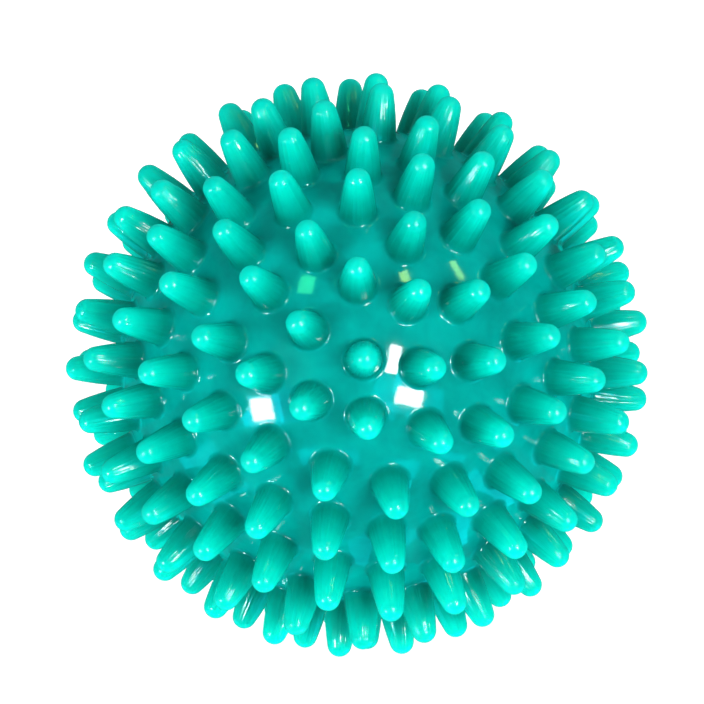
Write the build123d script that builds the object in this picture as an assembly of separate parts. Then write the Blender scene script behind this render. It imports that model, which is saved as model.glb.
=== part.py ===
from build123d import *
import os
from math import sin, cos, tan, radians, sqrt, pi

# Inflatable vinyl massage ball with long round-tipped spikes.
# Millimetres, +Z up, origin at the centre of the ball. The ball rests on four spike tips.

# ---- driving dimensions ----
OVER_TIPS = 90.0            # diameter over the spike tips
CORE_R = 36.4               # outer radius of the skin between the spikes
SKIN_WALL = 2.0             # wall of the hollow skin

TIP_R = 1.85                # radius of a spike's round tip
SIDE_ANGLE = 12.0           # taper where the side leaves the round tip, degrees
SIDE_R = 47.0               # the side bulges on this radius, so it stands nearly upright at the foot
BASE_SINK = 0.02            # the flat base sits this far inside the skin all round

# Spikes stand in rings about the mould axis, 14 nearly equal steps from one pole to the other.
# Each is (angle from the pole, azimuth about the axis), degrees; azimuth 0 is the meridian that
# ends up underneath. Real spacing wanders by a degree or two, as moulded; the far ones are regular.
RINGS = [
    [
        (0.4, 169.4),
    ],
    [
        (13.8, 27.0), (13.6, 86.3), (13.1, 146.4), (13.3, 210.3), (13.4, 263.9), (14.1, 325.9),
    ],
    [
        (28.1, 358.3), (27.3, 26.0), (27.3, 53.5), (28.3, 81.3), (27.5, 109.7), (26.8, 136.2), (27.7, 166.3), (26.0, 198.6),
        (27.1, 223.3), (27.5, 250.0), (27.3, 279.6), (27.2, 306.6), (27.7, 333.1),
    ],
    [
        (41.4, 358.2), (41.1, 19.1), (41.9, 39.8), (41.5, 59.9), (43.2, 83.4), (39.8, 99.0), (41.1, 120.0), (42.0, 141.3),
        (41.3, 161.0), (41.7, 181.7), (41.1, 202.3), (40.6, 221.2), (41.1, 242.4), (40.6, 260.4), (40.9, 279.3), (41.6, 299.2),
        (42.3, 320.3), (41.8, 339.8),
    ],
    [
        (55.7, 358.1), (55.1, 13.8), (54.9, 29.3), (55.4, 45.0), (55.0, 61.8), (54.3, 76.2), (55.4, 91.9), (55.4, 111.1),
        (55.4, 127.4), (55.4, 144.6), (55.4, 163.1), (55.4, 180.9), (55.4, 197.9), (55.4, 217.1), (55.4, 232.8), (55.0, 248.4),
        (55.0, 263.8), (55.4, 280.8), (54.9, 295.2), (55.2, 310.0), (54.6, 325.6), (55.7, 342.9),
    ],
    [
        (69.5, 5.3), (69.4, 20.9), (69.1, 35.7), (69.1, 51.6), (68.5, 66.2), (69.2, 81.5), (68.6, 96.1), (69.2, 110.3),
        (69.2, 125.3), (69.2, 140.3), (69.2, 155.3), (69.2, 170.3), (69.2, 185.3), (70.1, 200.0), (69.2, 215.5), (67.8, 231.5),
        (68.9, 244.9), (68.9, 260.6), (69.3, 275.1), (69.1, 289.9), (69.1, 304.9), (68.6, 320.5), (69.4, 335.4), (69.0, 350.4),
    ],
    [
        (82.5, 3.7), (82.0, 17.1), (83.2, 32.2), (82.4, 43.9), (82.5, 57.4), (83.1, 70.8), (83.1, 84.0), (83.1, 97.3),
        (83.1, 110.6), (83.1, 123.9), (83.1, 137.3), (83.1, 150.6), (83.1, 163.9), (83.1, 177.3), (83.1, 190.6), (83.1, 203.9),
        (83.6, 217.9), (83.7, 231.2), (83.1, 245.2), (82.4, 258.7), (83.1, 270.6), (82.9, 283.5), (82.6, 297.1), (82.3, 310.4),
        (81.6, 324.0), (82.3, 337.4), (82.4, 349.7),
    ],
    [
        (96.5, 353.8), (95.9, 7.6), (95.1, 19.7), (97.8, 35.1), (96.9, 48.0), (96.9, 61.3), (96.9, 74.7), (96.9, 88.0),
        (96.9, 101.3), (96.9, 114.7), (96.9, 128.0), (96.9, 141.3), (96.9, 154.7), (96.9, 168.0), (96.9, 181.3), (96.9, 194.7),
        (96.9, 208.0), (99.0, 220.1), (99.3, 232.6), (95.7, 249.5), (95.5, 263.7), (98.2, 275.1), (96.4, 288.6), (95.4, 301.8),
        (96.1, 314.8), (95.9, 327.7), (97.3, 340.7),
    ],
    [
        (109.8, 351.7), (110.2, 6.4), (112.5, 23.3), (112.5, 38.0), (110.8, 52.9), (110.8, 67.9), (110.8, 82.9), (110.8, 97.9),
        (110.8, 112.9), (110.8, 127.9), (110.8, 142.9), (110.8, 157.9), (110.8, 172.9), (110.8, 187.9), (110.8, 202.9), (110.8, 217.9),
        (110.8, 232.9), (112.1, 246.8), (110.5, 263.5), (111.6, 278.8), (110.8, 292.9), (110.8, 307.9), (109.9, 323.7), (112.5, 338.8),
    ],
    [
        (124.3, 352.6), (124.4, 8.4), (124.3, 24.8), (124.6, 38.8), (124.6, 54.5), (124.6, 70.1), (124.6, 85.8), (124.6, 101.4),
        (124.6, 117.1), (124.6, 132.7), (124.6, 148.4), (124.6, 164.0), (124.6, 179.7), (124.6, 195.3), (124.6, 211.0), (124.6, 226.6),
        (124.6, 242.3), (124.6, 257.9), (124.6, 273.6), (124.6, 288.1), (123.7, 304.5), (124.8, 320.2), (124.7, 336.6),
    ],
    [
        (138.462, 10.000), (138.462, 30.000), (138.462, 50.000), (138.462, 70.000), (138.462, 90.000), (138.462, 110.000), (138.462, 130.000), (138.462, 150.000),
        (138.462, 170.000), (138.462, 190.000), (138.462, 210.000), (138.462, 230.000), (138.462, 250.000), (138.462, 270.000), (138.462, 290.000), (138.462, 310.000),
        (138.462, 330.000), (138.462, 350.000),
    ],
    [
        (152.308, 13.846), (152.308, 41.538), (152.308, 69.231), (152.308, 96.923), (152.308, 124.615), (152.308, 152.308), (152.308, 180.000), (152.308, 207.692),
        (152.308, 235.384), (152.308, 263.077), (152.308, 290.769), (152.308, 318.461), (152.308, 346.154),
    ],
    [
        (166.2, 14.0), (166.2, 74.0), (166.2, 134.0), (166.2, 194.0), (166.2, 254.0), (166.2, 314.0),
    ],
    [
        (180.0, 0.0),
    ],
]
AXIS_TILT = 34.1577         # mould axis away from +Z, which brings four spikes level underneath
AXIS_HEADING = -61.4332     # the direction it leans to, from +X towards +Y

VALVE_RING, VALVE_INDEX = 8, 13     # the place in the rings that the valve takes, on the back

# Valve, along its own axis; z is the distance from the ball's centre
SEAT_R, SEAT_Z = 4.05, 35.35        # flat seat sunk in the skin
BOSS_R, BOSS_Z = 5.4, 31.8          # thickened skin behind the seat
SLEEVE_R = 2.8                      # body of the rubber sleeve
SLEEVE_FLANGE_R, SLEEVE_TOP_Z = 3.95, 36.25
SLEEVE_BARB_R, SLEEVE_BARB_T = 3.6, 1.2
SLEEVE_END_Z = 27.5
BORE_R, BORE_END_Z = 1.45, 29.3     # needle bore, closed at its inner end
PLUG_HEAD_R, PLUG_HEAD_T = 3.1, 1.25
PLUG_GAP = 0.12                     # under the plug's head when it is pressed home
PIN_R, PIN_RING_R, PIN_END_Z = 0.95, 1.15, 30.3
PLUG_TRAVEL = 12.0


def spike_dir(polar, azimuth):
    """Unit direction of a spike, in the mould's own frame."""
    t, a = radians(polar), radians(azimuth)
    return Vector(sin(t) * cos(a), sin(t) * sin(a), cos(t))


def to_part(v):
    """Mould frame to part frame: lean by AXIS_TILT about Y, then turn by AXIS_HEADING about Z."""
    return v.rotate(Axis.Y, AXIS_TILT).rotate(Axis.Z, AXIS_HEADING)


def along(v):
    """Location with its z axis along v, at the ball's centre."""
    x = Vector(0, 0, 1).cross(v)
    if x.length < 1e-6:
        x = Vector(1, 0, 0)
    return Location(Plane(origin=(0, 0, 0), x_dir=x.normalized(), z_dir=v))


def side_arc():
    """A spike's bulged side in the (radius, height) plane: its centre, and where it leaves the tip."""
    a = radians(SIDE_ANGLE)
    top_c = OVER_TIPS / 2 - TIP_R
    top = (TIP_R * cos(a), top_c + TIP_R * sin(a))
    return (top[0] - SIDE_R * cos(a), top[1] - SIDE_R * sin(a)), top


def on_side(z):
    """Radius of a spike's side at height z."""
    (cx, cz), _ = side_arc()
    return cx + sqrt(SIDE_R**2 - (z - cz) ** 2)


def spike_base():
    """Where a spike's side meets its flat base: radius, and distance from the ball's centre."""
    z = CORE_R
    for _ in range(30):
        z = sqrt(CORE_R**2 - on_side(z) ** 2) - BASE_SINK
    return on_side(z), z


def spike_solid():
    """One spike about +Z: flat base on a flat of the skin, bulged side, round tip. It is convex."""
    top_c = OVER_TIPS / 2 - TIP_R
    _, (tip_x, tip_z) = side_arc()
    base_x, base_z = spike_base()
    mid_z = (tip_z + base_z) / 2
    half = (
        ThreePointArc((tip_x, tip_z), (on_side(mid_z), mid_z), (base_x, base_z))
        + Polyline((base_x, base_z), (0, base_z), (0, OVER_TIPS / 2))
        + ThreePointArc((0, OVER_TIPS / 2), (TIP_R * sin(radians(40)), top_c + TIP_R * cos(radians(40))), (tip_x, tip_z))
    )
    return revolve(Plane.XZ * make_face(half), Axis.Z, 360)


def turned(points, axis=Axis.Z):
    """A solid turned about Z from (radius, height) points."""
    return revolve(Plane.XZ * make_face(Polyline(*points, close=True)), axis, 360)


# ---- where everything goes ----
dirs = {(r, k): to_part(spike_dir(*s)) for r, ring in enumerate(RINGS) for k, s in enumerate(ring)}
valve_dir = dirs.pop((VALVE_RING, VALVE_INDEX))
at_valve = along(valve_dir)

# ---- spikes ----
one = spike_solid()
spikes = Compound(label="spikes", children=[along(d) * one for d in dirs.values()])

# ---- skin, with the valve's seat, hole and thickened back ----
hollow = Sphere(CORE_R - SKIN_WALL)
boss_keep = Pos(0, 0, BOSS_Z) * Cylinder(BOSS_R, 6, align=(Align.CENTER, Align.CENTER, Align.MIN))
hollow = at_valve * (hollow - boss_keep)
seat = Pos(0, 0, SEAT_Z) * Cylinder(SEAT_R, 6, align=(Align.CENTER, Align.CENTER, Align.MIN))
hole = Pos(0, 0, BOSS_Z - 2) * Cylinder(SLEEVE_R, 10, align=(Align.CENTER, Align.CENTER, Align.MIN))
skin = at_valve * (Sphere(CORE_R) - seat - hole) - hollow
# a flat under each spike, so that its base meets the skin face to face
base_r, base_h = spike_base()
flat = Pos(0, 0, base_h) * Cylinder(base_r, 2, align=(Align.CENTER, Align.CENTER, Align.MIN))
skin = skin - [along(d) * flat for d in dirs.values()]

# ---- rubber valve sleeve: flange in the seat, barb behind the boss, closed slit end ----
B = BORE_R
sleeve_pts = [
    (0, SLEEVE_END_Z),
    (1.5, SLEEVE_END_Z),
    (2.2, SLEEVE_END_Z + 0.5),
    (SLEEVE_BARB_R, BOSS_Z - SLEEVE_BARB_T),
    (SLEEVE_BARB_R, BOSS_Z),
    (SLEEVE_R, BOSS_Z),
    (SLEEVE_R, SEAT_Z),
    (SLEEVE_FLANGE_R, SEAT_Z),
    (SLEEVE_FLANGE_R, SLEEVE_TOP_Z - 0.25),
    (SLEEVE_FLANGE_R - 0.35, SLEEVE_TOP_Z),
    (B + 0.35, SLEEVE_TOP_Z),
    (B, SLEEVE_TOP_Z - 0.35),
    (B, BORE_END_Z + 0.8),
    (0, BORE_END_Z),
]
sleeve = at_valve * turned(sleeve_pts)

# ---- pull-out plug: domed head with a finger groove, pin with two sealing rings ----
hz = SLEEVE_TOP_Z + PLUG_GAP
plug_pts = [
    (0, PIN_END_Z),
    (0.45, PIN_END_Z + 0.1),
    (PIN_R, PIN_END_Z + 0.9),
    (PIN_R, PIN_END_Z + 2.0),
    (PIN_RING_R, PIN_END_Z + 2.3),
    (PIN_RING_R, PIN_END_Z + 2.6),
    (PIN_R, PIN_END_Z + 2.9),
    (PIN_R, PIN_END_Z + 3.9),
    (PIN_RING_R, PIN_END_Z + 4.2),
    (PIN_RING_R, PIN_END_Z + 4.5),
    (PIN_R, PIN_END_Z + 4.8),
    (PIN_R, hz),
    (PLUG_HEAD_R - 0.45, hz),
    (PLUG_HEAD_R - 0.45, hz + 0.3),
    (PLUG_HEAD_R - 0.15, hz + 0.45),
    (PLUG_HEAD_R, hz + 0.6),
    (PLUG_HEAD_R - 0.1, hz + 0.85),
    (PLUG_HEAD_R - 0.7, hz + PLUG_HEAD_T - 0.1),
    (PLUG_HEAD_R - 1.6, hz + PLUG_HEAD_T),
    (0, hz + PLUG_HEAD_T + 0.05),
]
plug = at_valve * turned(plug_pts)

os.makedirs("parts", exist_ok=True)
export_step(skin, "parts/skin.step")
export_step(spikes, "parts/spikes.step")
export_step(sleeve, "parts/valve_sleeve.step")
export_step(plug, "parts/valve_plug.step")

print("spikes", len(dirs), "valve direction", tuple(round(c, 5) for c in valve_dir))
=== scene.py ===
from math import acos, asin, atan2, cos, pi, radians, sin, sqrt, tan

import bmesh
import bpy
import numpy as np
from mathutils import Matrix, Vector
from mathutils.geometry import delaunay_2d_cdt


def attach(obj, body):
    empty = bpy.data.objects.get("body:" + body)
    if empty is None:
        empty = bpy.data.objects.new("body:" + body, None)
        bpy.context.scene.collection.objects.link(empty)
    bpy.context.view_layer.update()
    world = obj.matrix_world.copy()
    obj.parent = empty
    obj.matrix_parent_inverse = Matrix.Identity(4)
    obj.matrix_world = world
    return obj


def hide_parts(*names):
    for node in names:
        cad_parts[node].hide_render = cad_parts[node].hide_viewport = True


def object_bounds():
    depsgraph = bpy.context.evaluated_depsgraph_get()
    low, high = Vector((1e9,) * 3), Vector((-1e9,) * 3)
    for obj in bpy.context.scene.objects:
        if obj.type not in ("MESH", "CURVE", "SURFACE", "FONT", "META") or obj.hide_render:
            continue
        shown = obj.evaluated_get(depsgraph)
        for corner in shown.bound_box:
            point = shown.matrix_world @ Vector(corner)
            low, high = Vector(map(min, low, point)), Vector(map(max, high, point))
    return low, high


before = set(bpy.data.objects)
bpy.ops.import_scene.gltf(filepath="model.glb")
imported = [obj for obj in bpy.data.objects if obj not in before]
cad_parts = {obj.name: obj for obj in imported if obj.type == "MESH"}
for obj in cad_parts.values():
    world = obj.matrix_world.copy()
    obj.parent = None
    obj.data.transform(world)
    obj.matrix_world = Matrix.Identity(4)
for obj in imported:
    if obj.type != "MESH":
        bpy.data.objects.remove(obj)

cad_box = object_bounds()
MM = 0.001

# ------------------------------------------------------------------ the ball's layout (as in the CAD, mm)
OVER_TIPS = 90.0
CORE_R = 36.4
SKIN_WALL = 2.0
TIP_R = 1.85
SIDE_ANGLE = radians(12.0)  # taper where a spike's side leaves its round tip
SIDE_R = 47.0               # the side bulges on this radius
FOOT_R = 3.38               # outer edge of the fillet round a spike's foot
AXIS_TILT, AXIS_HEADING = radians(34.1577), radians(-61.4332)
VALVE_RING, VALVE_INDEX = 8, 13
SEAT_R, SEAT_Z = 4.05, 35.35
BOSS_R, BOSS_Z = 5.4, 31.8
SLEEVE_R, SLEEVE_FLANGE_R, SLEEVE_TOP_Z = 2.8, 3.95, 36.25
SLEEVE_BARB_R, SLEEVE_BARB_T, SLEEVE_END_Z = 3.6, 1.2, 27.5
BORE_R, BORE_END_Z = 1.45, 29.3
PLUG_HEAD_R, PLUG_HEAD_T, PLUG_GAP = 3.1, 1.25, 0.12
PIN_R, PIN_RING_R, PIN_END_Z = 0.95, 1.15, 30.3

# angle from the mould axis and azimuth about it, degrees, ring by ring
RINGS = [
    [
        (-0.4, 349.4),
    ],
    [
        (13.8, 27.0), (13.6, 86.3), (13.1, 146.4), (13.3, 210.3), (13.4, 263.9), (14.1, 325.9),
    ],
    [
        (28.1, 358.3), (27.3, 26.0), (27.3, 53.5), (28.3, 81.3), (27.5, 109.7), (26.8, 136.2), (27.7, 166.3), (26.0, 198.6),
        (27.1, 223.3), (27.5, 250.0), (27.3, 279.6), (27.2, 306.6), (27.7, 333.1),
    ],
    [
        (41.4, 358.2), (41.1, 19.1), (41.9, 39.8), (41.5, 59.9), (43.2, 83.4), (39.8, 99.0), (41.1, 120.0), (42.0, 141.3),
        (41.3, 161.0), (41.7, 181.7), (41.1, 202.3), (40.6, 221.2), (41.1, 242.4), (40.6, 260.4), (40.9, 279.3), (41.6, 299.2),
        (42.3, 320.3), (41.8, 339.8),
    ],
    [
        (55.7, 358.1), (55.1, 13.8), (54.9, 29.3), (55.4, 45.0), (55.0, 61.8), (54.3, 76.2), (55.4, 91.9), (55.4, 111.1),
        (55.4, 127.4), (55.4, 144.6), (55.4, 163.1), (55.4, 180.9), (55.4, 197.9), (55.4, 217.1), (55.4, 232.8), (55.0, 248.4),
        (55.0, 263.8), (55.4, 280.8), (54.9, 295.2), (55.2, 310.0), (54.6, 325.6), (55.7, 342.9),
    ],
    [
        (69.5, 5.3), (69.4, 20.9), (69.1, 35.7), (69.1, 51.6), (68.5, 66.2), (69.2, 81.5), (68.6, 96.1), (69.2, 110.3),
        (69.2, 125.3), (69.2, 140.3), (69.2, 155.3), (69.2, 170.3), (69.2, 185.3), (70.1, 200.0), (69.2, 215.5), (67.8, 231.5),
        (68.9, 244.9), (68.9, 260.6), (69.3, 275.1), (69.1, 289.9), (69.1, 304.9), (68.6, 320.5), (69.4, 335.4), (69.0, 350.4),
    ],
    [
        (82.5, 3.7), (82.0, 17.1), (83.2, 32.2), (82.4, 43.9), (82.5, 57.4), (83.1, 70.8), (83.1, 84.0), (83.1, 97.3),
        (83.1, 110.6), (83.1, 123.9), (83.1, 137.3), (83.1, 150.6), (83.1, 163.9), (83.1, 177.3), (83.1, 190.6), (83.1, 203.9),
        (83.6, 217.9), (83.7, 231.2), (83.1, 245.2), (82.4, 258.7), (83.1, 270.6), (82.9, 283.5), (82.6, 297.1), (82.3, 310.4),
        (81.6, 324.0), (82.3, 337.4), (82.4, 349.7),
    ],
    [
        (96.5, 353.8), (95.9, 7.6), (95.1, 19.7), (97.8, 35.1), (96.9, 48.0), (96.9, 61.3), (96.9, 74.7), (96.9, 88.0),
        (96.9, 101.3), (96.9, 114.7), (96.9, 128.0), (96.9, 141.3), (96.9, 154.7), (96.9, 168.0), (96.9, 181.3), (96.9, 194.7),
        (96.9, 208.0), (99.0, 220.1), (99.3, 232.6), (95.7, 249.5), (95.5, 263.7), (98.2, 275.1), (96.4, 288.6), (95.4, 301.8),
        (96.1, 314.8), (95.9, 327.7), (97.3, 340.7),
    ],
    [
        (109.8, 351.7), (110.2, 6.4), (112.5, 23.3), (112.5, 38.0), (110.8, 52.9), (110.8, 67.9), (110.8, 82.9), (110.8, 97.9),
        (110.8, 112.9), (110.8, 127.9), (110.8, 142.9), (110.8, 157.9), (110.8, 172.9), (110.8, 187.9), (110.8, 202.9), (110.8, 217.9),
        (110.8, 232.9), (112.1, 246.8), (110.5, 263.5), (111.6, 278.8), (110.8, 292.9), (110.8, 307.9), (109.9, 323.7), (112.5, 338.8),
    ],
    [
        (124.3, 352.6), (124.4, 8.4), (124.3, 24.8), (124.6, 38.8), (124.6, 54.5), (124.6, 70.1), (124.6, 85.8), (124.6, 101.4),
        (124.6, 117.1), (124.6, 132.7), (124.6, 148.4), (124.6, 164.0), (124.6, 179.7), (124.6, 195.3), (124.6, 211.0), (124.6, 226.6),
        (124.6, 242.3), (124.6, 257.9), (124.6, 273.6), (124.6, 288.1), (123.7, 304.5), (124.8, 320.2), (124.7, 336.6),
    ],
    [
        (138.462, 10.000), (138.462, 30.000), (138.462, 50.000), (138.462, 70.000), (138.462, 90.000), (138.462, 110.000), (138.462, 130.000), (138.462, 150.000),
        (138.462, 170.000), (138.462, 190.000), (138.462, 210.000), (138.462, 230.000), (138.462, 250.000), (138.462, 270.000), (138.462, 290.000), (138.462, 310.000),
        (138.462, 330.000), (138.462, 350.000),
    ],
    [
        (152.308, 13.846), (152.308, 41.538), (152.308, 69.231), (152.308, 96.923), (152.308, 124.615), (152.308, 152.308), (152.308, 180.000), (152.308, 207.692),
        (152.308, 235.384), (152.308, 263.077), (152.308, 290.769), (152.308, 318.461), (152.308, 346.154),
    ],
    [
        (166.2, 14.0), (166.2, 74.0), (166.2, 134.0), (166.2, 194.0), (166.2, 254.0), (166.2, 314.0),
    ],
    [
        (180.0, 0.0),
    ],
]

SEG = 24                    # sides of a spike
SEAT_SEG = 48


def turn(v):
    """Mould frame to part frame."""
    x, y, z = v
    x, z = x * cos(AXIS_TILT) + z * sin(AXIS_TILT), -x * sin(AXIS_TILT) + z * cos(AXIS_TILT)
    x, y = x * cos(AXIS_HEADING) - y * sin(AXIS_HEADING), x * sin(AXIS_HEADING) + y * cos(AXIS_HEADING)
    return np.array((x, y, z))


def frame_of(d):
    """Two directions square to d; the first is level."""
    u = np.cross((0, 0, 1.0), d)
    if np.linalg.norm(u) < 1e-6:
        u = np.array((1.0, 0, 0))
    u /= np.linalg.norm(u)
    return u, np.cross(d, u)


places = {}
for r, ring in enumerate(RINGS):
    for k, (p, a) in enumerate(ring):
        p, a = radians(p), radians(a)
        places[(r, k)] = turn((sin(p) * cos(a), sin(p) * sin(a), cos(p)))
valve_dir = places.pop((VALVE_RING, VALVE_INDEX))
dirs = np.array(list(places.values()))


# ------------------------------------------------------------------ one moulding: skin and spikes
def spike_profile(foot):
    """(radius, height) from the foot on the sphere, round the fillet, up the bulged side and over the tip."""
    tip_c = OVER_TIPS / 2 - TIP_R
    tx, tz = TIP_R * cos(SIDE_ANGLE), tip_c + TIP_R * sin(SIDE_ANGLE)
    sx, sz = tx - SIDE_R * cos(SIDE_ANGLE), tz - SIDE_R * sin(SIDE_ANGLE)

    def gap(rho):
        cr = foot * (CORE_R + rho) / CORE_R
        cz = sqrt((CORE_R + rho) ** 2 - cr**2)
        return sqrt((cr - sx) ** 2 + (cz - sz) ** 2) - (SIDE_R + rho), cr, cz

    lo, hi = 0.0, 3.0
    for _ in range(60):
        mid = (lo + hi) / 2
        if gap(mid)[0] > 0:
            lo = mid
        else:
            hi = mid
    rho = lo
    _, cr, cz = gap(rho)
    a0 = atan2(-cz, -cr)                    # towards the ball's centre
    a1 = atan2(sz - cz, sx - cr)            # towards the side's own centre
    while a1 > a0:
        a1 -= 2 * pi
    pts = []
    n = 6
    for i in range(n + 1):
        a = a0 + (a1 - a0) * i / n
        pts.append((cr + rho * cos(a), cz + rho * sin(a)))
    b0 = atan2(pts[-1][1] - sz, pts[-1][0] - sx)
    for t in (0.25, 0.5, 0.75):
        b = b0 + (SIDE_ANGLE - b0) * t
        pts.append((sx + SIDE_R * cos(b), sz + SIDE_R * sin(b)))
    n = 6
    for i in range(n):
        a = SIDE_ANGLE + (pi / 2 - SIDE_ANGLE) * i / n
        pts.append((TIP_R * cos(a), tip_c + TIP_R * sin(a)))
    return pts, (0.0, OVER_TIPS / 2)


def arc(cx, cz, r, a0, a1, n):
    return [(cx + r * cos(radians(a0 + (a1 - a0) * i / n)), cz + r * sin(radians(a0 + (a1 - a0) * i / n))) for i in range(n + 1)]


def seat_profile(start_r):
    """(radius, height) about the valve's axis: over the rim, down the seat, through the hole, and all round the hollow inside."""
    e = 0.22
    z0 = sqrt(CORE_R**2 - start_r**2)
    pts = [(start_r, z0)]
    pts += arc(SEAT_R + e, z0 - e - 0.04, e, 90, 180, 4)
    pts += arc(SEAT_R - 0.15, SEAT_Z + 0.15, 0.15, 0, -90, 3)
    pts += [(SLEEVE_R + 0.1, SEAT_Z), (SLEEVE_R, SEAT_Z - 0.1), (SLEEVE_R, BOSS_Z)]
    pts += [(BOSS_R - 0.4, BOSS_Z)] + arc(BOSS_R - 0.4, BOSS_Z + 0.4, 0.4, -60, 0, 2)
    inner = CORE_R - SKIN_WALL
    a = asin(BOSS_R / inner)
    n = 22
    for i in range(n):
        t = a + (pi - a) * i / n
        pts.append((inner * sin(t), inner * cos(t)))
    return pts, (0.0, -inner)


def make_shell():
    verts, faces, attr = [], [], []         # attr: cos, sin round a spike, height along it; random number
    owner = []                              # which ring a foot vertex belongs to, -1 for open skin
    rng = np.random.default_rng(7)

    feet = []
    sep = dirs @ np.vstack([dirs, valve_dir]).T
    for i in range(len(dirs)):
        sep[i, i] = -1
    near = np.arccos(np.clip(sep[:, :-1].max(1), -1, 1))
    for i, d in enumerate(dirs):
        half = CORE_R * sin(near[i] / 2)
        feet.append(min(FOOT_R, half - 0.05))
    rim_r = SEAT_R + 0.55
    rings = []
    for i, d in enumerate(dirs):
        u, w = frame_of(d)
        prof, apex = spike_profile(feet[i])
        start = len(verts)
        r0, z0 = prof[0]
        for s in range(SEG):
            t = 2 * pi * s / SEG
            verts.append(z0 * d + r0 * (cos(t) * u + sin(t) * w))
            owner.append(i)
        rings.append((start, prof, apex, u, w, d))
    seat_start = len(verts)
    u, w = frame_of(valve_dir)
    prof, apex = seat_profile(rim_r)
    r0, z0 = prof[0]
    for s in range(SEAT_SEG):
        t = 2 * pi * s / SEAT_SEG
        verts.append(z0 * valve_dir + r0 * (cos(t) * u + sin(t) * w))
        owner.append(len(dirs))
    seat = (seat_start, prof, apex, u, w, valve_dir)

    # evenly spread points on the skin between the feet
    n = int(4 * pi * CORE_R**2 / (0.866 * 1.0**2))
    k = np.arange(n) + 0.5
    ph = np.arccos(1 - 2 * k / n)
    th = pi * (1 + 5**0.5) * k
    pts = np.stack([np.cos(th) * np.sin(ph), np.sin(th) * np.sin(ph), np.cos(ph)], 1)
    ang = np.arccos(np.clip(pts @ dirs.T, -1, 1)) * CORE_R - np.array([CORE_R * asin(f / CORE_R) for f in feet])
    ok = ang.min(1) > 0.42
    ok &= np.arccos(np.clip(pts @ valve_dir, -1, 1)) * CORE_R > CORE_R * asin(rim_r / CORE_R) + 0.42
    for p in pts[ok]:
        verts.append(p * CORE_R)
        owner.append(-1)

    # flatten from the valve outwards (circles stay circles), join up, and drop what closes a foot
    v = np.array(verts) / CORE_R
    v /= np.linalg.norm(v, axis=1)[:, None]
    z = v @ valve_dir
    flat = np.stack([v @ u, v @ w], 1) / (1 - z)[:, None]
    coords = [Vector((float(a), float(b))) for a, b in flat]
    edges = []
    for start, *_ in rings:
        edges += [(start + s, start + (s + 1) % SEG) for s in range(SEG)]
    edges += [(seat_start + s, seat_start + (s + 1) % SEAT_SEG) for s in range(SEAT_SEG)]
    out_v, _, out_f, orig_v, _, _ = delaunay_2d_cdt(coords, edges, [], 0, 1e-9)
    if len(out_v) != len(coords):
        print("shell: points in, out", len(coords), len(out_v))
    back = [o[0] if o else None for o in orig_v]
    V = np.array(verts)
    for f in out_f:
        f = [back[i] for i in f]
        if None in f or len(set(f)) < 3:
            continue
        o = {owner[i] for i in f}
        if len(o) == 1 and -1 not in o:
            continue
        a, b, c = (V[i] for i in f)
        if np.dot(np.cross(b - a, c - a), a + b + c) < 0:
            f = f[::-1]
        faces.append(tuple(f))

    attr = [(0.0, 0.0, 0.0)] * len(verts)
    tone = [0.5] * len(verts)
    verts = list(verts)

    def grow(entry, seg, spike_tone):
        start, prof, apex, u, w, d = entry
        prev = list(range(start, start + seg))
        for r, zz in prof[1:]:
            row = []
            for s in range(seg):
                t = 2 * pi * s / seg
                verts.append(zz * d + r * (cos(t) * u + sin(t) * w))
                attr.append((cos(t), sin(t), (zz - CORE_R) / 10.0))
                tone.append(spike_tone)
                row.append(len(verts) - 1)
            for s in range(seg):
                s2 = (s + 1) % seg
                faces.append((prev[s], prev[s2], row[s2], row[s]))
            prev = row
        verts.append(apex[1] * d)
        attr.append((0.0, 0.0, (apex[1] - CORE_R) / 10.0))
        tone.append(spike_tone)
        top = len(verts) - 1
        for s in range(seg):
            faces.append((prev[s], prev[(s + 1) % seg], top))

    for entry in rings:
        t = float(rng.random())
        for s in range(SEG):
            a = 2 * pi * s / SEG
            attr[entry[0] + s] = (cos(a), sin(a), 0.0)
            tone[entry[0] + s] = t
        grow(entry, SEG, t)
    grow(seat, SEAT_SEG, 0.5)

    me = bpy.data.meshes.new("moulded_shell")
    me.from_pydata([tuple(float(c) * MM for c in p) for p in verts], [], faces)
    me.validate()
    me.polygons.foreach_set("use_smooth", [True] * len(me.polygons))
    a = me.attributes.new("round_spike", "FLOAT_VECTOR", "POINT")
    a.data.foreach_set("vector", np.array(attr, np.float32).ravel())
    a = me.attributes.new("tone", "FLOAT", "POINT")
    a.data.foreach_set("value", np.array(tone, np.float32))
    me.update()
    # the skin is shaded as the true sphere it is, right up to where each spike's fillet leaves it
    vn = np.empty(len(me.vertices) * 3, np.float32)
    me.vertex_normals.foreach_get("vector", vn)
    vn = vn.reshape(-1, 3)
    vn[:len(V)] = V / np.linalg.norm(V, axis=1)[:, None]
    me.normals_split_custom_set_from_vertices(vn.tolist())
    ob = bpy.data.objects.new("moulded_shell", me)
    bpy.context.scene.collection.objects.link(ob)
    bm = bmesh.new()
    bm.from_mesh(me)
    open_edges = sum(1 for e in bm.edges if not e.is_manifold)
    vol = bm.calc_volume(signed=True)
    bm.free()
    print("shell: verts", len(me.vertices), "faces", len(me.polygons), "open edges", open_edges, "volume mm3", round(vol * 1e9, 1))
    return ob


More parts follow.
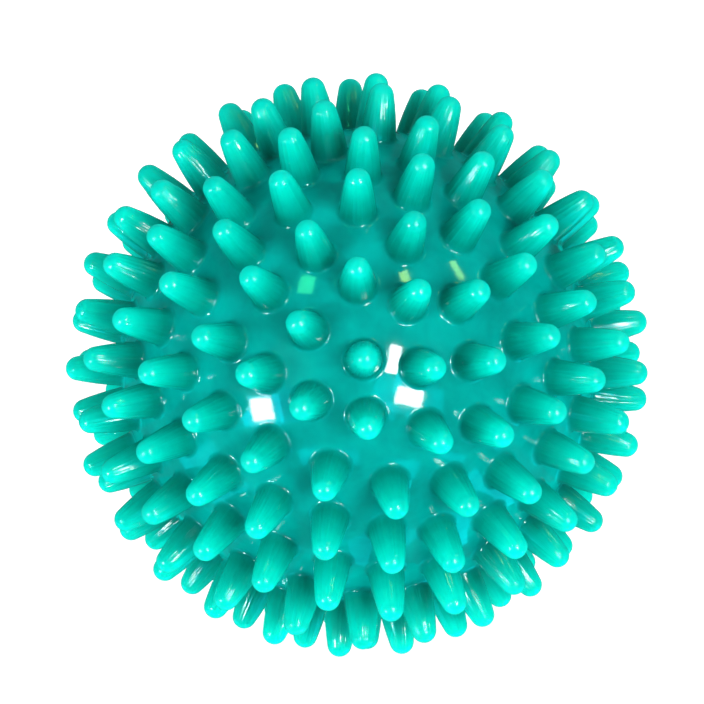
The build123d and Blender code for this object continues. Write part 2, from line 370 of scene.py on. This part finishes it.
def lathe(name, profile, d, seg=64, bottom=True, top=True):
    """A closed turned piece about d from (radius, height) points in mm, from its inner end to its outer end; ends are on the axis."""
    u, w = frame_of(d)
    verts, faces = [], []
    rows = []
    for r, z in profile:
        if r < 1e-6:
            verts.append(z * d)
            rows.append([len(verts) - 1])
        else:
            row = []
            for s in range(seg):
                t = 2 * pi * s / seg
                verts.append(z * d + r * (cos(t) * u + sin(t) * w))
                row.append(len(verts) - 1)
            rows.append(row)
    for lo, hi in zip(rows, rows[1:]):
        for s in range(seg):
            s2 = (s + 1) % seg
            if len(lo) == 1:
                faces.append((lo[0], hi[s2], hi[s]))
            elif len(hi) == 1:
                faces.append((lo[s], lo[s2], hi[0]))
            else:
                faces.append((lo[s], lo[s2], hi[s2], hi[s]))
    me = bpy.data.meshes.new(name)
    me.from_pydata([tuple(float(c) * MM for c in p) for p in verts], [], faces)
    me.validate()
    me.update()
    ob = bpy.data.objects.new(name, me)
    bpy.context.scene.collection.objects.link(ob)
    bm = bmesh.new()
    bm.from_mesh(me)
    bmesh.ops.recalc_face_normals(bm, faces=bm.faces[:])
    if bm.calc_volume(signed=True) < 0:
        bmesh.ops.reverse_faces(bm, faces=bm.faces[:])
    bm.to_mesh(me)
    bm.free()
    me.polygons.foreach_set("use_smooth", [True] * len(me.polygons))
    return ob


# ------------------------------------------------------------------ materials
def new_mat(name):
    m = bpy.data.materials.new(name)
    m.use_nodes = True
    nt = m.node_tree
    bsdf = nt.nodes["Principled BSDF"]
    return m, nt, bsdf


def ramp(nt, stops, fac):
    n = nt.nodes.new("ShaderNodeValToRGB")
    cr = n.color_ramp
    while len(cr.elements) > len(stops):
        cr.elements.remove(cr.elements[-1])
    while len(cr.elements) < len(stops):
        cr.elements.new(0.5)
    for e, (p, c) in zip(cr.elements, stops):
        e.position = p
        e.color = (*c, 1)
    nt.links.new(fac, n.inputs[0])
    return n.outputs[0]


def maths(nt, op, a, b=None, c=None, clamp=False):
    n = nt.nodes.new("ShaderNodeMath")
    n.operation = op
    n.use_clamp = clamp
    for i, x in enumerate((a, b, c)):
        if x is None:
            continue
        if isinstance(x, (int, float)):
            n.inputs[i].default_value = x
        else:
            nt.links.new(x, n.inputs[i])
    return n.outputs[0]


def noise(nt, vec, scale, detail=2.0, rough=0.5, dist=0.0):
    n = nt.nodes.new("ShaderNodeTexNoise")
    n.inputs["Scale"].default_value = scale
    n.inputs["Detail"].default_value = detail
    n.inputs["Roughness"].default_value = rough
    n.inputs["Distortion"].default_value = dist
    nt.links.new(vec, n.inputs["Vector"])
    return n.outputs[0]


def mixc(nt, fac, a, b, blend="MIX"):
    n = nt.nodes.new("ShaderNodeMix")
    n.data_type = "RGBA"
    n.blend_type = blend
    for sock, x in ((n.inputs[0], fac), (n.inputs[6], a), (n.inputs[7], b)):
        if isinstance(x, (int, float)):
            sock.default_value = x
        elif isinstance(x, tuple):
            sock.default_value = (*x, 1)
        else:
            nt.links.new(x, sock)
    return n.outputs[2]


def vinyl():
    """Glossy soft vinyl: a little bluer on the skin, with painted shade darkest at the spikes' roots and painted light
    brightening the spikes towards their tips; faint draw lines along the spikes.
    """
    m, nt, b = new_mat("vinyl")
    tc = nt.nodes.new("ShaderNodeTexCoord")
    obj = tc.outputs["Object"]
    length = nt.nodes.new("ShaderNodeVectorMath")
    length.operation = "LENGTH"
    nt.links.new(obj, length.inputs[0])
    rr = nt.nodes.new("ShaderNodeMapRange")
    rr.inputs["From Min"].default_value = 0.0362
    rr.inputs["From Max"].default_value = 0.0450
    nt.links.new(length.outputs["Value"], rr.inputs["Value"])
    h = rr.outputs["Result"]
    # teal by height over the skin: painted shade makes the skin, and most of all the spikes' roots between the spikes,
    # darker; painted light makes the spikes lighter towards their tips
    teal_with_painted_shade = ramp(nt, [(0.0, (0.0, 0.40, 0.368)), (0.05, (0.0, 0.278, 0.238)), (0.2, (0.0, 0.29, 0.228)), (0.5, (0.0, 0.43, 0.345)), (0.78, (0.0, 0.64, 0.505)), (0.93, (0.0, 0.655, 0.535)), (1.0, (0.0, 0.65, 0.535))], h)
    # slow drift in the pigment and small flow marks
    drift = noise(nt, obj, 60.0, 3.0, 0.55)
    flow = noise(nt, obj, 420.0, 2.0, 0.6, 0.6)
    at = nt.nodes.new("ShaderNodeAttribute")
    at.attribute_name = "tone"
    v = maths(nt, "MULTIPLY_ADD", drift, 0.30, 0.85)
    v = maths(nt, "MULTIPLY_ADD", flow, 0.20, v)
    v = maths(nt, "MULTIPLY_ADD", at.outputs["Fac"], 0.10, v)
    v = maths(nt, "SUBTRACT", v, 0.15)
    # the skin between the spikes is cloudier than the spikes
    on_skin = maths(nt, "MULTIPLY_ADD", h, -12.0, 1.0, clamp=True)
    cloud = maths(nt, "MULTIPLY_ADD", noise(nt, obj, 130.0, 3.0, 0.65, 0.4), 0.9, -0.45)
    v = maths(nt, "MULTIPLY_ADD", cloud, on_skin, v)
    vm = nt.nodes.new("ShaderNodeVectorMath")
    vm.operation = "SCALE"
    nt.links.new(teal_with_painted_shade, vm.inputs[0])
    nt.links.new(vm.outputs[0], b.inputs["Base Color"])

    # draw lines: noise that is stretched along each spike
    rs = nt.nodes.new("ShaderNodeAttribute")
    rs.attribute_name = "round_spike"
    sc = nt.nodes.new("ShaderNodeVectorMath")
    sc.operation = "MULTIPLY"
    sc.inputs[1].default_value = (1.0, 1.0, 0.12)
    nt.links.new(rs.outputs["Vector"], sc.inputs[0])
    off = nt.nodes.new("ShaderNodeVectorMath")
    off.operation = "ADD"
    shift = maths(nt, "MULTIPLY", at.outputs["Fac"], 37.0)
    nt.links.new(sc.outputs[0], off.inputs[0])
    nt.links.new(shift, off.inputs[1])
    lines = noise(nt, off.outputs[0], 5.0, 1.5, 0.45)
    on_side = maths(nt, "MULTIPLY", maths(nt, "MULTIPLY_ADD", h, 9.0, -0.6, clamp=True), maths(nt, "MULTIPLY_ADD", h, -9.0, 8.4, clamp=True))
    line_h = maths(nt, "MULTIPLY", maths(nt, "SUBTRACT", lines, 0.5), on_side)
    v = maths(nt, "MULTIPLY_ADD", line_h, 0.2, v)
    nt.links.new(v, vm.inputs["Scale"])
    skin_wave = noise(nt, obj, 180.0, 2.0, 0.5)
    peel = noise(nt, obj, 1500.0, 2.0, 0.5)
    hgt = maths(nt, "MULTIPLY_ADD", line_h, 3.4, maths(nt, "MULTIPLY_ADD", peel, 0.04, maths(nt, "MULTIPLY", skin_wave, 0.22)))
    bump = nt.nodes.new("ShaderNodeBump")
    bump.inputs["Strength"].default_value = 1.0
    bump.inputs["Distance"].default_value = 0.00006
    nt.links.new(hgt, bump.inputs["Height"])
    nt.links.new(bump.outputs[0], b.inputs["Normal"])

    # the tips came out of the mould a little duller than the sides and the skin
    rough = maths(nt, "MULTIPLY_ADD", noise(nt, obj, 300.0, 3.0, 0.6), 0.08, 0.03)
    at_tip = maths(nt, "MULTIPLY_ADD", h, 2.0, -1.0, clamp=True)
    rough = maths(nt, "MULTIPLY_ADD", maths(nt, "MULTIPLY", at_tip, at_tip), 0.15, rough)
    nt.links.new(rough, b.inputs["Roughness"])
    b.inputs["IOR"].default_value = 1.5
    b.inputs["Specular IOR Level"].default_value = 0.5
    b.inputs["Subsurface Weight"].default_value = 0.5
    b.inputs["Subsurface Radius"].default_value = (0.15, 1.0, 0.8)
    b.inputs["Subsurface Scale"].default_value = 0.0007
    return m


def rubber():
    m, nt, b = new_mat("valve_rubber")
    tc = nt.nodes.new("ShaderNodeTexCoord")
    obj = tc.outputs["Object"]
    n1 = noise(nt, obj, 250.0, 4.0, 0.6)
    col = ramp(nt, [(0.3, (0.004, 0.135, 0.115)), (0.7, (0.006, 0.19, 0.165))], n1)
    nt.links.new(col, b.inputs["Base Color"])
    fine = noise(nt, obj, 2600.0, 3.0, 0.6)
    bump = nt.nodes.new("ShaderNodeBump")
    bump.inputs["Strength"].default_value = 0.6
    bump.inputs["Distance"].default_value = 0.00003
    nt.links.new(fine, bump.inputs["Height"])
    nt.links.new(bump.outputs[0], b.inputs["Normal"])
    nt.links.new(maths(nt, "MULTIPLY_ADD", n1, 0.2, 0.38), b.inputs["Roughness"])
    b.inputs["Specular IOR Level"].default_value = 0.4
    return m


def plug_plastic():
    m, nt, b = new_mat("plug_plastic")
    tc = nt.nodes.new("ShaderNodeTexCoord")
    obj = tc.outputs["Object"]
    n1 = noise(nt, obj, 180.0, 3.0, 0.6)
    col = ramp(nt, [(0.3, (0.46, 0.56, 0.53)), (0.7, (0.60, 0.68, 0.65))], n1)
    nt.links.new(col, b.inputs["Base Color"])
    fine = noise(nt, obj, 3000.0, 2.0, 0.6)
    bump = nt.nodes.new("ShaderNodeBump")
    bump.inputs["Strength"].default_value = 0.5
    bump.inputs["Distance"].default_value = 0.00002
    nt.links.new(fine, bump.inputs["Height"])
    nt.links.new(bump.outputs[0], b.inputs["Normal"])
    nt.links.new(maths(nt, "MULTIPLY_ADD", n1, 0.2, 0.3), b.inputs["Roughness"])
    b.inputs["Subsurface Weight"].default_value = 0.4
    b.inputs["Subsurface Radius"].default_value = (1.0, 1.0, 1.0)
    b.inputs["Subsurface Scale"].default_value = 0.0008
    return m


# ------------------------------------------------------------------ the camera
CAM_X = Vector((0.996940, -0.023617, -0.074522))
CAM_Y = Vector((0.078175, 0.301183, 0.950356))
CAM_Z = Vector((0.0, -0.953274, 0.302108))
CAM_X = Vector((CAM_X.x, CAM_X.y, CAM_X.z)).normalized()


def cam_to_world(v):
    return Vector(CAM_X) * v[0] + Vector(CAM_Y) * v[1] + Vector(CAM_Z) * v[2]


cam_data = bpy.data.cameras.new("camera")
cam = bpy.data.objects.new("camera", cam_data)
bpy.context.scene.collection.objects.link(cam)
z = Vector(CAM_Z).normalized()
x = Vector(CAM_X)
x = (x - z * x.dot(z)).normalized()
y = z.cross(x)
cam.matrix_world = Matrix(((x.x, y.x, z.x, z.x * 0.4545), (x.y, y.y, z.y, z.y * 0.4545), (x.z, y.z, z.z, z.z * 0.4545), (0, 0, 0, 1)))
cam_data.sensor_width = 36.0
cam_data.lens = 150.4
cam_data.shift_x = -0.00795
cam_data.shift_y = 0.0183
cam_data.clip_start = 0.01
bpy.context.scene.camera = cam

# ------------------------------------------------------------------ the pieces
shell = make_shell()
shell.data.materials.append(vinyl())
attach(shell, "ball")
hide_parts("skin", "spikes")

for node, mat in (("valve_sleeve", rubber()), ("valve_plug", plug_plastic())):
    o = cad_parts[node]
    o.data.materials.clear()
    o.data.materials.append(mat)

# ------------------------------------------------------------------ floor, world, lights
low = cad_box[0][2] if not isinstance(cad_box, dict) else cad_box["min"][2]
me = bpy.data.meshes.new("floor")
me.from_pydata([(-3, -3, low), (3, -3, low), (3, 3, low), (-3, 3, low)], [], [(0, 1, 2, 3)])
floor = bpy.data.objects.new("floor", me)
bpy.context.scene.collection.objects.link(floor)
m, nt, b = new_mat("floor")
b.inputs["Base Color"].default_value = (0.3, 0.3, 0.3, 1)
b.inputs["Roughness"].default_value = 0.9
b.inputs["Emission Color"].default_value = (1, 1, 1, 1)
b.inputs["Emission Strength"].default_value = 0.95
b.inputs["Specular IOR Level"].default_value = 0.0
floor.data.materials.append(m)
floor.visible_glossy = False
floor.visible_diffuse = False
floor.visible_shadow = False

world = bpy.data.worlds.new("studio")
bpy.context.scene.world = world
world.use_nodes = True
nt = world.node_tree
bg = nt.nodes["Background"]
lp = nt.nodes.new("ShaderNodeLightPath")
mx = nt.nodes.new("ShaderNodeMix")
mx.data_type = "FLOAT"
mx.inputs[2].default_value = 0.13
mx.inputs[3].default_value = 1.0
nt.links.new(lp.outputs["Is Camera Ray"], mx.inputs[0])
g = nt.nodes.new("ShaderNodeMath")
g.operation = "MULTIPLY_ADD"
g.inputs[1].default_value = -0.10
nt.links.new(lp.outputs["Is Glossy Ray"], g.inputs[0])
nt.links.new(mx.outputs[0], g.inputs[2])
bg.inputs["Color"].default_value = (1, 1, 1, 1)
nt.links.new(g.outputs[0], bg.inputs["Strength"])


def lamp(name, to, dist, w, h, radiance, roll=0.0, colour=(1, 1, 1)):
    """A softbox seen from the ball in direction `to` (camera axes: right, up, towards the camera)."""
    d = cam_to_world(Vector(to).normalized()).normalized()
    data = bpy.data.lights.new(name, "AREA")
    data.shape = "RECTANGLE"
    data.size, data.size_y = w, h
    data.energy = radiance * pi * w * h
    data.color = colour
    ob = bpy.data.objects.new(name, data)
    bpy.context.scene.collection.objects.link(ob)
    zax = d
    xax = Vector(CAM_Y).cross(zax).normalized()
    yax = zax.cross(xax)
    rot = Matrix((xax, yax, zax)).transposed() @ Matrix.Rotation(radians(roll), 3, "Z")
    ob.matrix_world = Matrix.Translation(d * dist) @ rot.to_4x4()
    ob.visible_camera = False
    return ob


D = 0.9
# lamps whose mirror images are the highlights: name, direction, width, height, radiance, roll, colour
GLINTS = [
    ("left_pane", (-0.695, -0.324, 0.640), 0.17, 0.15, 30, 0, (1, 1, 1)),
    ("right_pane", (0.402, -0.250, 0.880), 0.20, 0.125, 30, -10, (1, 1, 1)),
    ("right_bar", (0.286, 0.043, 0.957), 0.08, 0.20, 34, -12, (1, 1, 1)),
    ("left_wing", (-0.70, -0.33, 0.63), 0.33, 0.20, 10, 0, (0.0, 0.72, 1)),
    ("right_wing", (0.34, -0.14, 0.93), 0.36, 0.44, 4.0, -12, (0.0, 0.8, 1)),
    ("floor_low_right", (0.70, -0.70, -0.17), 0.70, 0.40, 4.2, 0, (0.0, 0.8, 1)),
    ("floor_low_left", (-0.78, -0.60, -0.12), 0.45, 0.40, 2.8, 0, (0.0, 0.8, 1)),
    ("low_inner", (0.20, -0.36, 0.91), 0.18, 0.14, 3.6, 0, (0.0, 0.8, 1)),
    ("right_outer", (0.56, -0.30, 0.77), 0.16, 0.22, 3.4, 0, (0.0, 0.8, 1)),
    ("floor_low_front", (0.10, -0.98, -0.10), 0.45, 0.30, 2.4, 0, (0.0, 0.8, 1)),
    ("between_panes", (0.335, -0.10, 0.937), 0.07, 0.22, 7, -12, (0.0, 0.85, 1)),
    ("left_low_wing", (-0.50, -0.30, 0.81), 0.20, 0.26, 3.2, 0, (0.0, 0.8, 1)),
    ("low_left", (-0.32, -0.67, 0.67), 0.20, 0.12, 4.0, 0, (0.0, 0.8, 1)),
    ("low_front", (-0.10, -0.69, 0.71), 0.20, 0.12, 3.0, 0, (0.0, 0.8, 1)),
    ("low_right", (0.30, -0.75, 0.60), 0.26, 0.14, 4.0, 0, (0.0, 0.8, 1)),
    ("low_far_right", (0.61, -0.69, 0.40), 0.20, 0.20, 4.0, 0, (0.0, 0.8, 1)),
    ("bar_top", (0.34, 0.66, 0.67), 0.06, 0.12, 13, 0, (0.55, 1, 0.15)),
    ("bar_top_right", (0.66, 0.65, 0.38), 0.05, 0.16, 12, 0, (0.45, 1, 0.2)),
    ("bar_top_left", (-0.38, 0.60, 0.71), 0.11, 0.13, 12, 0, (0.05, 1, 0.3)),
]
# broad lamps that give the ball its light and shade, without mirror images: name, direction, size, radiance
SOFT = [
    ("key_right", (0.53, 0.0, 0.85), 0.30, 12.0),
    ("key_right_inner", (0.33, -0.08, 0.94), 0.30, 13.0),
    ("key_left", (-0.53, 0.0, 0.85), 0.30, 9.2),
    ("key_left_low", (-0.70, -0.30, 0.64), 0.38, 6.4),
    ("rim_left", (-0.81, -0.59, -0.03), 0.45, 5.2),
    ("rim_low_left", (-0.31, -0.95, -0.03), 0.45, 2.4),
    ("rim_low_right", (0.31, -0.95, -0.03), 0.45, 4.6),
    ("rim_right", (0.81, -0.59, -0.03), 0.45, 5.2),
    ("rim_top", (0.31, 0.95, -0.03), 0.45, 3.8),
    ("back_right", (0.81, 0.14, -0.57), 0.6, 2.2),
    ("back_top_right", (0.47, 0.67, -0.57), 0.6, 2.2),
    ("back_top", (-0.14, 0.81, -0.57), 0.6, 2.2),
    ("back_left", (-0.67, 0.47, -0.57), 0.6, 2.2),
    ("back_left_low", (-0.81, -0.14, -0.57), 0.6, 2.2),
    ("back_low_left", (-0.47, -0.67, -0.57), 0.6, 2.2),
    ("back_low", (0.14, -0.81, -0.57), 0.6, 2.2),
    ("back_low_right", (0.67, -0.47, -0.57), 0.6, 2.2),
]
for name, to, w, h, radiance, roll, colour in GLINTS:
    lamp(name, to, D, w, h, radiance, roll, colour).visible_diffuse = False
for name, to, size, radiance in SOFT:
    lamp(name, to, D, size, size, radiance).visible_glossy = False

vs = bpy.context.scene.view_settings
vs.view_transform = "Standard"
vs.look = "None"
vs.exposure = 0.0
vs.gamma = 1.0
